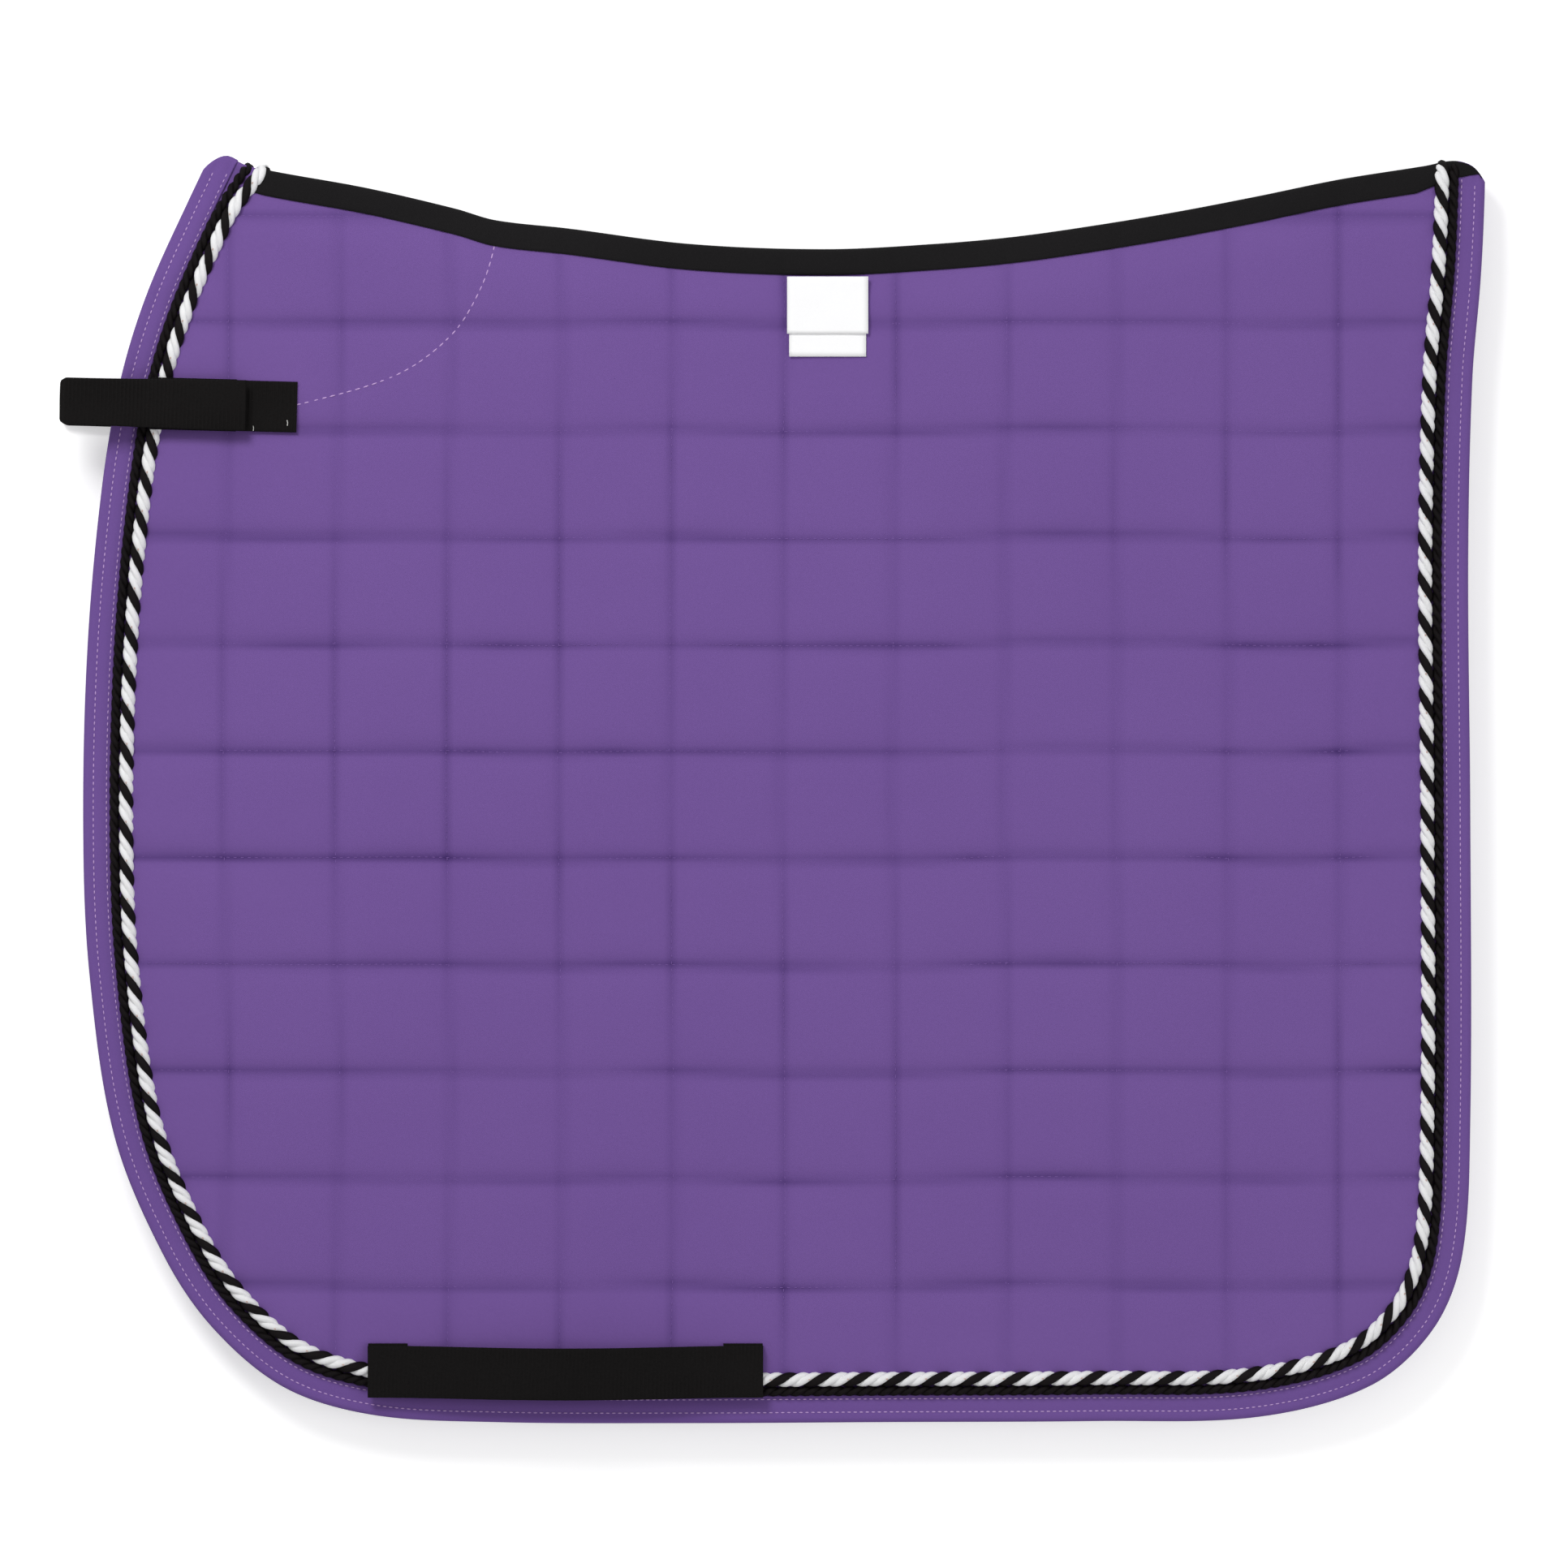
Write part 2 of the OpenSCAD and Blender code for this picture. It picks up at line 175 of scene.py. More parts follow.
def inset_line(d, count):
    """The edge line d in from the outline, from the spine in front to the spine behind."""
    line = edge - d * edge_out
    drop = under_spine(line[:, 0], line[:, 1])
    below = np.nonzero(drop > 0)[0]
    first, last = below[0], below[-1]
    ends = []
    for a, b in ((first, first - 1), (last, last + 1)):
        ends.append(line[a] + drop[a] / (drop[a] - drop[b]) * (line[b] - line[a]))
    return respaced(np.vstack([ends[0], line[first:last + 1], ends[1]]), count)


# %% [markdown]
# ## Effects that several cloths share
# A weave and a soft mottle turn up on many of the cloths here. Each is built
# once as a node group whose outputs vary over the surface, and each material feeds them its own sizes.

# %% Node group helpers
def new_group(name, inputs, outputs):
    group = bpy.data.node_groups.new(name, "ShaderNodeTree")
    for label, value in inputs:
        group.interface.new_socket(label, in_out="INPUT", socket_type="NodeSocketFloat").default_value = value
    for label in outputs:
        group.interface.new_socket(label, in_out="OUTPUT", socket_type="NodeSocketFloat")
    return group, group.nodes.new("NodeGroupInput"), group.nodes.new("NodeGroupOutput")


def math_node(tree, operation, a, b=None, c=None, clamp=False):
    node = tree.nodes.new("ShaderNodeMath")
    node.operation = operation
    node.use_clamp = clamp
    for socket, value in zip(node.inputs, (a, b, c)):
        if value is None:
            continue
        if isinstance(value, (int, float)):
            socket.default_value = value
        else:
            tree.links.new(value, socket)
    return node.outputs[0]


def weave_group():
    """Crossing threads: one set of ribs along each of two directions."""
    group, given, out = new_group("weave", [("Threads per metre", 1400), ("Slant", 0.8)], ["Height"])
    place = group.nodes.new("ShaderNodeTexCoord")
    parts = group.nodes.new("ShaderNodeSeparateXYZ")
    group.links.new(place.outputs["Object"], parts.inputs[0])
    waves = []
    for sign in (1, -1):
        slanted = math_node(group, "MULTIPLY", parts.outputs[1], given.outputs[1])
        line = math_node(group, "ADD" if sign > 0 else "SUBTRACT", parts.outputs[0], slanted)
        turns = math_node(group, "MULTIPLY", line, given.outputs[0])
        waves.append(math_node(group, "SINE", math_node(group, "MULTIPLY", turns, 2 * math.pi)))
    both = math_node(group, "MULTIPLY_ADD", waves[0], 0.35, waves[1])
    group.links.new(math_node(group, "MULTIPLY_ADD", both, 0.35, 0.5), out.inputs[0])
    return group


def mottle_group():
    """Soft patches of lighter and darker dye, and a finer speckle of thread ends."""
    group, given, out = new_group("mottle", [("Patches per metre", 9), ("Speckles per metre", 900)],
                                  ["Patch", "Speckle"])
    place = group.nodes.new("ShaderNodeTexCoord")
    for k, detail in ((0, 3), (1, 1)):
        noise = group.nodes.new("ShaderNodeTexNoise")
        noise.inputs["Detail"].default_value = detail
        group.links.new(place.outputs["Object"], noise.inputs["Vector"])
        group.links.new(given.outputs[k], noise.inputs["Scale"])
        group.links.new(noise.outputs["Fac"], out.inputs[k])
    return group


WEAVE = weave_group()
MOTTLE = mottle_group()


# %% [markdown]
# ## A cloth material
# All the cloths take one recipe: a base colour that the mottle shifts a little, a weave that sets the
# bump and a trace of colour, and an attribute that paints shade into the valleys of the quilting.

# %% The cloth recipe
def cloth(name, dark, light, threads, slant=0.8, rough=0.9, bump=0.25, sheen=0.0, painted_valley_shade=None,
          shine=0.15, speckles=900):
    material = bpy.data.materials.new(name)
    material.use_nodes = True
    tree = material.node_tree
    shader = tree.nodes["Principled BSDF"]
    weave = tree.nodes.new("ShaderNodeGroup")
    weave.node_tree = WEAVE
    weave.inputs[0].default_value = threads
    weave.inputs[1].default_value = slant
    mottle = tree.nodes.new("ShaderNodeGroup")
    mottle.node_tree = MOTTLE
    mottle.inputs[1].default_value = speckles
    patches = math_node(tree, "MULTIPLY_ADD", mottle.outputs["Patch"], 0.7, 0.15)
    threaded = math_node(tree, "MULTIPLY_ADD", weave.outputs[0], 0.12, patches)
    speck = math_node(tree, "SUBTRACT", mottle.outputs["Speckle"], 0.5)
    blend = math_node(tree, "MULTIPLY_ADD", speck, 0.5, threaded, clamp=True)
    ramp = tree.nodes.new("ShaderNodeMix")
    ramp.data_type = "RGBA"
    ramp.inputs["A"].default_value = (*dark, 1)
    ramp.inputs["B"].default_value = (*light, 1)
    tree.links.new(blend, ramp.inputs["Factor"])
    colour = ramp.outputs["Result"]
    # Painted shade: where the attribute marks a quilting valley, the colour is mixed towards a darker one.
    if painted_valley_shade is not None:
        depth = tree.nodes.new("ShaderNodeAttribute")
        depth.attribute_name = "painted_valley_shade"
        shade = tree.nodes.new("ShaderNodeMix")
        shade.data_type = "RGBA"
        shade.inputs["B"].default_value = (*painted_valley_shade, 1)
        tree.links.new(depth.outputs["Fac"], shade.inputs["Factor"])
        tree.links.new(colour, shade.inputs["A"])
        colour = shade.outputs["Result"]
    tree.links.new(colour, shader.inputs["Base Color"])
    relief = tree.nodes.new("ShaderNodeBump")
    relief.inputs["Strength"].default_value = bump
    relief.inputs["Distance"].default_value = 0.0004
    height = math_node(tree, "ADD", weave.outputs[0], speck)
    tree.links.new(height, relief.inputs["Height"])
    tree.links.new(relief.outputs["Normal"], shader.inputs["Normal"])
    shader.inputs["Roughness"].default_value = rough
    shader.inputs["Specular IOR Level"].default_value = shine
    shader.inputs["Sheen Weight"].default_value = sheen
    shader.inputs["Sheen Roughness"].default_value = 0.5
    return material


def linear(r, g, b):
    """A colour as a paint chart gives it, 0 to 255, to the shader's linear values."""
    return tuple(((c / 255 + 0.055) / 1.055) ** 2.4 if c > 10 else c / 255 / 12.92 for c in (r, g, b))


# The quilted purple's darker colour is painted shade, laid into the seam valleys of the quilting.
PURPLE = cloth("quilted_twill", linear(109, 79, 147), linear(117, 87, 155), 1500, painted_valley_shade=linear(58, 36, 96))
BAND = cloth("edge_band", linear(104, 74, 143), linear(113, 83, 152), 2100, slant=0.2, rough=0.75)
TAPE = cloth("spine_tape", linear(22, 21, 22), linear(31, 30, 31), 1300, slant=0.3, shine=0.06)
WEBBING = cloth("webbing", linear(9, 8, 8), linear(24, 22, 22), 520, slant=0.05, bump=0.6, shine=0.12)
BLACK_YARN = cloth("black_yarn", linear(10, 8, 9), linear(24, 19, 20), 1600, rough=0.6, bump=0.5, shine=0.1)
SILVER_YARN = cloth("silver_yarn", linear(236, 236, 239), linear(255, 255, 255), 1500, rough=0.4, bump=0.6,
                    shine=0.4)
THREAD = cloth("pale_thread", linear(182, 146, 204), linear(206, 174, 224), 3000, rough=0.6)
SEAM_THREAD = cloth("seam_thread", linear(110, 79, 148), linear(128, 96, 166), 3000, rough=0.6)
PALE_KNOT = cloth("pale_knot", linear(196, 168, 160), linear(222, 200, 190), 3000, rough=0.6)
WHITE_THREAD = cloth("white_thread", linear(190, 190, 186), linear(222, 222, 218), 3000, rough=0.6)
SATIN = cloth("label_satin", linear(248, 248, 249), linear(254, 254, 255), 2600, slant=0.1, rough=0.55,
              bump=0.1)
FASTENER = cloth("fastener_pile", linear(14, 13, 14), linear(28, 26, 27), 700, bump=1.0, shine=0.06)


# %% [markdown]
# ## Meshes and how they are shown
# A piece is a plain mesh whose points already sit in the frame, so its object stays at the origin.

# %% Mesh helpers
def mesh_piece(name, points, faces, material, smooth=True):
    mesh = bpy.data.meshes.new(name)
    mesh.from_pydata([tuple(p) for p in points], [], [tuple(int(i) for i in f) for f in faces])
    mesh.materials.append(material)
    mesh.polygons.foreach_set("use_smooth", [smooth] * len(mesh.polygons))
    mesh.update()
    piece = bpy.data.objects.new(name, mesh)
    bpy.context.collection.objects.link(piece)
    return piece


def closed_sweep(rings):
    """Faces that join equal rings of points in order, with both ends closed."""
    rows, around = rings.shape[:2]
    faces = []
    for i in range(rows - 1):
        for k in range(around):
            a, b = i * around + k, i * around + (k + 1) % around
            faces.append((a, b, b + around, a + around))
    faces.append(tuple(range(around))[::-1])
    faces.append(tuple((rows - 1) * around + k for k in range(around)))
    return rings.reshape(-1, 3), faces


def facing_out(points, faces):
    """The faces, turned round where the closed shape would be inside out."""
    volume = 0.0
    for f in faces:
        a = points[f[0]]
        for k in range(1, len(f) - 1):
            volume += float(np.dot(a, np.cross(points[f[k]], points[f[k + 1]])))
    return faces if volume > 0 else [f[::-1] for f in faces]


def sweep_piece(name, rings, material):
    points, faces = closed_sweep(rings)
    return mesh_piece(name, points, facing_out(points, faces), material)


SIDES = ((1, "near"), (-1, "off"))
SEED = {1: 11, -1: 47}
BEND_LENGTH = 44  # distance below the spine to a point just above the billet strap, which stays flat
BLEND_START = to_frame([[0, BEND_Y, FACE]])[0]
BLEND_END = to_frame([[0, BEND_Y - BEND_LENGTH, FACE]])[0]


def settle(piece, side):
    """The near flap's pieces have their placing baked into their points; the off flap's ride on the off
    flap's empty.
    """
    if side > 0:
        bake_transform(piece)
    else:
        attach(piece, "off_flap")
    return piece


# %% [markdown]
# ## Soft noise for cloth
# Cloth is never quite regular. A smooth value noise on a seeded grid of numbers gives the same gentle
# unevenness on every run, and it works on thousands of points at once.

# %% Noise over the pad
CELLS = 256


def soft_noise(x, y, size_x, size_y, seed):
    """Noise from -1 to 1 whose patches are size_x by size_y millimetres."""
    table = np.random.default_rng(seed).uniform(-1, 1, (CELLS, CELLS))
    u, v = x / size_x + 100, y / size_y + 100
    i, j = np.floor(u).astype(int), np.floor(v).astype(int)
    a, b = ease(u - i), ease(v - j)
    i, j, i1, j1 = i % CELLS, j % CELLS, (i + 1) % CELLS, (j + 1) % CELLS
    low = table[i, j] * (1 - a) + table[i1, j] * a
    high = table[i, j1] * (1 - a) + table[i1, j1] * a
    return low * (1 - b) + high * b


# %% [markdown]
# ## The quilted flaps
# Wadding between two cloths, sewn through in squares of about five centimetres. Each seam pulls both
# cloths in, so a flap is a field of low pillows. The sideways seams were sewn last and bite deeper,
# and the slack cloth beside them gathers into small puckers. The surface is a height function over a
# triangulated outline, which keeps every seam crisp; the lining is the same field, facing inwards.
# The seam valleys also carry painted shade, a darkening mixed into the cloth's colour.

# %% Heights of the quilting
SEAM_X0, SEAM_DX = -268.3, 53.5
SEAM_Y0, SEAM_DY = 223.9, 51.4
BITE_Y, BITE_X = 0.46, 0.24  # how much of the loft a seam takes away
WANDER_Y, WANDER_X = 1.3, 1.6  # how far a seam strays from its straight line


def seam_gap(value, start, step, wander):
    """Signed distance from the nearest seam of one direction."""
    k = (value + wander - start) / step
    return (k - np.round(k)) * step


def wander_y(x, y, seed):
    return WANDER_Y * soft_noise(x, y, 60, 400, seed)


def wander_x(x, y, seed):
    return WANDER_X * soft_noise(x, y, 400, 70, seed + 1)


def quilt(x, y, seed):
    """Share of the full loft, and how much painted shade each point's seam valley gets."""
    across = seam_gap(y, SEAM_Y0, SEAM_DY, wander_y(x, y, seed))
    along = seam_gap(x, SEAM_X0, SEAM_DX, wander_x(x, y, seed))
    deep = np.exp(-np.abs(across) / 5.5)
    slight = np.exp(-np.abs(along) / 4.0)
    fade = 0.75 + 0.35 * soft_noise(x, y, 45, 30, seed + 2)
    pucker = soft_noise(x, y, 7.5, 40, seed + 3) + 0.6 * soft_noise(x, y, 4.2, 25, seed + 4)
    near_seam = np.exp(-np.abs(across) / 9) * (1 - 0.6 * deep)
    loft = 1 - BITE_Y * fade * deep - BITE_X * slight * (1 - 0.5 * deep)
    loft += 0.075 * near_seam * pucker * (0.6 + 0.8 * soft_noise(x, y, 50, 50, seed + 5) ** 2)
    loft += 0.07 * soft_noise(x, y, 80, 60, seed + 6) + 0.015 * soft_noise(x, y, 11, 9, seed + 7)
    # Painted shade for the seam valleys: strongest at the sideways seams, fainter at the others.
    shade = 0.75 * fade * np.exp(-np.abs(across) / 1.5) + 0.34 * np.exp(-np.abs(along) / 1.3)
    return loft, np.clip(shade, 0, 1)


PATCH_LINE = smooth_line(np.array(
    [[-136, 290], [-139, 262], [-146, 240], [-160, 218], [-186, 199], [-232, 185], [-250, 182]], float))


def patch_groove(x, y):
    gap = np.stack([x, y], axis=1)[:, None, :] - PATCH_LINE[None, :, :]
    return np.exp(-np.sqrt((gap ** 2).sum(axis=2).min(axis=1)) / 2.2)


FLANGE = 0.8
LOFT = FACE - SEAM - FLANGE + 0.7
ROLL_START, ROLL = 17.0, 17.0  # the padding's rounded edge, measured in from the outline


def flap_heights(x, y, seed):
    """Height of the cover and of the lining above the folding plane, and the valley shade."""
    d, s = inside_by(x, y), under_spine(x, y)
    loft, painted_valley_shade = quilt(x, y, seed)
    rise = crown((d - ROLL_START) / ROLL) * (0.25 + 0.75 * crown((s - 1) / 30))
    lofted = FLANGE + LOFT * rise * (loft - 0.13 * patch_groove(x, y))
    centre = middle(x, y)
    body = np.clip(rise * 3, 0, 1)
    low = np.maximum(centre - lofted, 0.15 + 0.1 * loft)
    return centre + lofted, low, painted_valley_shade * body


# %% Triangulate the flap and give it its two faces
GRID_X, GRID_Y = 3.6, 3.0


def flap_plan():
    rim = inset_line(2.0, 620)
    top = np.array([[x, spine_at(x) - 0.6] for x in np.linspace(rim[-1, 0] - 3, rim[0, 0] + 3, 190)])
    rim = rim[1:-1]
    loop = np.vstack([rim, top])
    xs = np.arange(-335, 336, GRID_X)
    ys = np.arange(-303, 303, GRID_Y)
    gx, gy = (a.ravel() for a in np.meshgrid(xs, ys))
    keep = (under_spine(gx, gy) > 2.4) & (gx > -337) & (gx < 338)
    gx, gy = gx[keep], gy[keep]
    inside = np.zeros(len(gx), bool)
    for i in range(len(loop)):
        (x0, y0), (x1, y1) = loop[i - 1], loop[i]
        hit = (y0 > gy) != (y1 > gy)
        inside ^= hit & (gx < (x1 - x0) * (gy - y0) / (y1 - y0 + 1e-12) + x0)
    gx, gy = gx[inside], gy[inside]
    clear = inside_by(gx, gy) > 4.0
    inner = np.stack([gx[clear], gy[clear]], axis=1)
    points = [Vector(p) for p in np.vstack([loop, inner])]
    n = len(loop)
    edges = [(i, (i + 1) % n) for i in range(n)]
    plan = geometry.delaunay_2d_cdt(points, edges, [], 1, 1e-5)
    print("flap plan:", len(plan[0]), "points", len(plan[2]), "triangles")
    return np.array([tuple(v) for v in plan[0]]), [tuple(f) for f in plan[2]]


PLAN, PLAN_FACES = flap_plan()


def flap_piece(name, side):
    x, y = PLAN[:, 0], PLAN[:, 1]
    high, low, painted_valley_shade = flap_heights(x, y, SEED[side])
    upper = to_frame(np.stack([x, y, high], axis=1), side)
    lower = to_frame(np.stack([x, y, low], axis=1), side)
    n = len(PLAN)
    faces = [tuple(f) for f in PLAN_FACES] + [tuple(i + n for i in f[::-1]) for f in PLAN_FACES]
    count = {}
    for f in PLAN_FACES:
        for a, b in zip(f, f[1:] + f[:1]):
            count[(a, b)] = count.get((a, b), 0) + 1
    for a, b in count:
        if (b, a) not in count:
            faces.append((b, a, a + n, b + n))
    if side < 0:
        faces = [f[::-1] for f in faces]
    piece = mesh_piece(name, np.vstack([upper, lower]), faces, PURPLE)
    # The painted valley shade is stored on every point, for the cloth's colour to read.
    shade = piece.data.attributes.new("painted_valley_shade", "FLOAT", "POINT")
    shade.data.foreach_set("value", np.concatenate([painted_valley_shade, painted_valley_shade]).astype(np.float32))
    return piece


near_flap = flap_piece("near_quilted_flap", 1)
off_flap = flap_piece("off_quilted_flap", -1)
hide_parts("near_cover", "near_padding", "near_lining", "near_wither_patch",
            "ridge_cover", "ridge_padding", "ridge_lining", "ridge_wither_patch")
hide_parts("off_cover", "off_padding", "off_lining", "off_wither_patch")
for side, piece in ((1, near_flap), (-1, off_flap)):
    settle(piece, side)

# %% [markdown]
# ## The edge band
# A woven band folds round the raw edge of each flap and is sewn down by two rows of stitches, which
# draw it in slightly. Its section is swept along the outline, each strand of the sweep ending exactly
# at the spine, so that the band meets the tape there.

# %% Sweep the band
BAND_SECTION = [(13.3, 0.7), (13.2, 1.65), (12.4, 1.8), (11.3, 1.5), (10.2, 1.8), (8.0, 1.95), (6.2, 1.85),
                (5.0, 1.55), (3.9, 1.85), (2.4, 1.9), (1.1, 1.6), (0.35, 0.9), (0.05, 0.0)]
BAND_ROWS = 760


def band_piece(name, side, seed):
    section = BAND_SECTION + [(d, -z) for d, z in BAND_SECTION[-2::-1]]
    rings = []
    for d, z in section:
        line = inset_line(d, BAND_ROWS)
        swell = 1 + 0.07 * soft_noise(line[:, 0], line[:, 1], 9, 9, seed)
        height = middle(line[:, 0], line[:, 1]) + z * swell
        rings.append(to_frame(np.column_stack([line, height]), side))
    return sweep_piece(name, np.array(rings).transpose(1, 0, 2), BAND)


near_band = band_piece("near_edge_band", 1, 5)
off_band = band_piece("off_edge_band", -1, 6)
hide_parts("near_binding", "ridge_binding")
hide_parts("off_binding")
for side, piece in ((1, near_band), (-1, off_band)):
    settle(piece, side)

# %% [markdown]
# ## Cords, made by Geometry Nodes
# Beside the band lies a rope of two silver strands and a black one, and outside it a thin black cord.
# A strand follows a helix round the cord's line. The tree below winds any line: it spaces the points,
# moves each one round the line by its own distance along it, and gives the line a round section.

# %% The strand tree
def strand_tree(material):
    tree = bpy.data.node_groups.new("wound_strand", "GeometryNodeTree")
    tree.interface.new_socket("Line", in_out="INPUT", socket_type="NodeSocketGeometry")
    for label, value in (("Spacing", 0.0014), ("Pitch", 0.0187), ("Phase", 0.0), ("Offset", 0.0019),
                         ("Strand radius", 0.0018)):
        tree.interface.new_socket(label, in_out="INPUT", socket_type="NodeSocketFloat").default_value = value
    tree.interface.new_socket("Mesh", in_out="OUTPUT", socket_type="NodeSocketGeometry")
    given, out = tree.nodes.new("NodeGroupInput"), tree.nodes.new("NodeGroupOutput")
    link = tree.links.new
    spaced = tree.nodes.new("GeometryNodeResampleCurve")
    spaced.mode = "LENGTH"
    link(given.outputs["Line"], spaced.inputs["Curve"])
    link(given.outputs["Spacing"], spaced.inputs["Length"])
    along = tree.nodes.new("GeometryNodeSplineParameter")
    turns = math_node(tree, "DIVIDE", along.outputs["Length"], given.outputs["Pitch"])
    angle = math_node(tree, "MULTIPLY", math_node(tree, "ADD", turns, given.outputs["Phase"]), 2 * math.pi)
    tangent = tree.nodes.new("GeometryNodeInputTangent")
    normal = tree.nodes.new("GeometryNodeInputNormal")
    cross = tree.nodes.new("ShaderNodeVectorMath")
    cross.operation = "CROSS_PRODUCT"
    link(tangent.outputs[0], cross.inputs[0])
    link(normal.outputs[0], cross.inputs[1])
    moves = []
    for operation, source in (("COSINE", normal.outputs[0]), ("SINE", cross.outputs[0])):
        scaled = tree.nodes.new("ShaderNodeVectorMath")
        scaled.operation = "SCALE"
        link(source, scaled.inputs[0])
        link(math_node(tree, "MULTIPLY", math_node(tree, operation, angle), given.outputs["Offset"]),
             scaled.inputs["Scale"])
        moves.append(scaled.outputs[0])
    total = tree.nodes.new("ShaderNodeVectorMath")
    link(moves[0], total.inputs[0])
    link(moves[1], total.inputs[1])
    wound = tree.nodes.new("GeometryNodeSetPosition")
    link(spaced.outputs[0], wound.inputs["Geometry"])
    link(total.outputs[0], wound.inputs["Offset"])
    ring = tree.nodes.new("GeometryNodeCurvePrimitiveCircle")
    ring.inputs["Resolution"].default_value = 8
    link(given.outputs["Strand radius"], ring.inputs["Radius"])
    skin = tree.nodes.new("GeometryNodeCurveToMesh")
    link(wound.outputs[0], skin.inputs["Curve"])
    link(ring.outputs[0], skin.inputs["Profile Curve"])
    skin.inputs["Fill Caps"].default_value = True
    even = tree.nodes.new("GeometryNodeSetShadeSmooth")
    link(skin.outputs[0], even.inputs["Geometry"])
    whole = tree.nodes.new("GeometryNodeRealizeInstances")
    link(even.outputs[0], whole.inputs[0])
    painted = tree.nodes.new("GeometryNodeSetMaterial")
    painted.inputs["Material"].default_value = material
    link(whole.outputs[0], painted.inputs[0])
    link(painted.outputs[0], out.inputs[0])
    return tree


def line_object(name, lines):
    """A curve object of one poly spline for each list of points."""
    data = bpy.data.curves.new(name, "CURVE")
    data.dimensions = "3D"
    for points in lines:
        spline = data.splines.new("POLY")
        spline.points.add(len(points) - 1)
        spline.points.foreach_set("co", np.column_stack([points, np.ones(len(points))]).ravel())
    holder = bpy.data.objects.new(name, data)
    bpy.context.collection.objects.link(holder)
    return holder


def grown(name, lines, tree, **values):
    """Runs a tree on lines and returns the result as a plain mesh piece."""
    holder = line_object(name + "_line", lines)
    modifier = holder.modifiers.new("grow", "NODES")
    modifier.node_group = tree
    sockets = {s.name: s.identifier for s in tree.interface.items_tree if s.in_out == "INPUT"}
    for label, value in values.items():
        modifier[sockets[label.replace("_", " ")]] = value
    bpy.context.view_layer.update()
    shown = holder.evaluated_get(bpy.context.evaluated_depsgraph_get())
    mesh = bpy.data.meshes.new_from_object(shown)
    mesh.name = name
    bpy.data.objects.remove(holder)
    piece = bpy.data.objects.new(name, mesh)
    bpy.context.collection.objects.link(piece)
    return piece


def joined(name, pieces):
    """Several mesh pieces as one."""
    if len(pieces) > 1:
        with bpy.context.temp_override(active_object=pieces[0], selected_editable_objects=pieces):
            bpy.ops.object.join()
    pieces[0].name = name
    pieces[0].data.name = name
    return pieces[0]


# %% Cord lines
TWISTED_D = (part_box("near_twisted_cord")[1][2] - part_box("near_twisted_cord")[0][2]) / MM
TWISTED_IN, BLACK_IN, BLACK_D = 20.9, 15.2, 4.2
WRAP = 7  # the cord turns over the ridge within this distance of it


OVER = 2.2


def cord_route(d_in, diameter, side, lean=5.0):
    line = inset_line(d_in, 1100)
    drop = under_spine(line[:, 0], line[:, 1])
    centre = middle(line[:, 0], line[:, 1]) + FLANGE + 0.5 + diameter / 2
    over = OVER * (1 - ease(drop / WRAP))
    line[:, 0] += np.where(line[:, 0] < 0, lean, 0) * (1 - ease(drop / 32))
    height = centre * np.sqrt(np.clip(drop / WRAP, 0, 1)) ** 0.8
    return to_frame(np.column_stack([line[:, 0], line[:, 1] - over, height]), side)


SILVER_TREE, BLACK_TREE = strand_tree(SILVER_YARN), strand_tree(BLACK_YARN)
PITCH = 0.0187
turn = -PITCH
for side, name in SIDES:
    route = cord_route(TWISTED_IN, TWISTED_D, side)
    silver = [grown(f"{name}_silver_{k}", [route], SILVER_TREE, Pitch=turn, Phase=0.29 * k, Offset=0.0019,
                    Strand_radius=0.00172) for k in (0, 1)]
    silver = joined(f"{name}_silver_strands", silver)
    dark = grown(f"{name}_black_strand", [route], BLACK_TREE, Pitch=turn, Phase=0.645, Offset=0.00158,
                 Strand_radius=0.0021)
    thin = cord_route(BLACK_IN, BLACK_D, side, lean=3.6)
    outer = [grown(f"{name}_outer_{k}", [thin], BLACK_TREE, Pitch=-0.0105, Phase=k / 2, Offset=0.00112,
                   Strand_radius=0.00142, Spacing=0.0012) for k in (0, 1)]
    outer = joined(f"{name}_black_cord_strands", outer)
    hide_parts(f"{name}_twisted_cord")
    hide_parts(f"{name}_black_cord")
    settle(silver, side)
    settle(dark, side)
    settle(outer, side)
    print(name, "cord, mm:", round(float(np.linalg.norm(np.diff(route, axis=0), axis=1).sum() / MM)))

# %% [markdown]
# ## Spine tape
# A wide black tape covers the ridge where the two flaps join. It lies over the quilting, so it takes
# its height from the flap's own surface, and it goes round the ridge in a soft fold.

# %% The tape
TAPE_FRONT, TAPE_REAR = -250, 335.5
TAPE_W, TAPE_ROWS = 12.7, 420
TAPE_SECTION = [(TAPE_W, -0.6), (12.6, 0.75), (11.2, 1.0), (8.4, 1.15), (5.6, 1.15), (3.2, 1.1), (1.5, 0.9),
                (0.45, 0.2)]


def tape_depth(x):
    """The tape's share of its width, which shrinks round the rear corner."""
    low = np.interp(x, [300, 312, 320, 336], [284.5, 289.5, 293, 296])
    return np.where(x > 300, np.clip((spine_at(x) - low) / TAPE_W, 0.08, 1), 1)


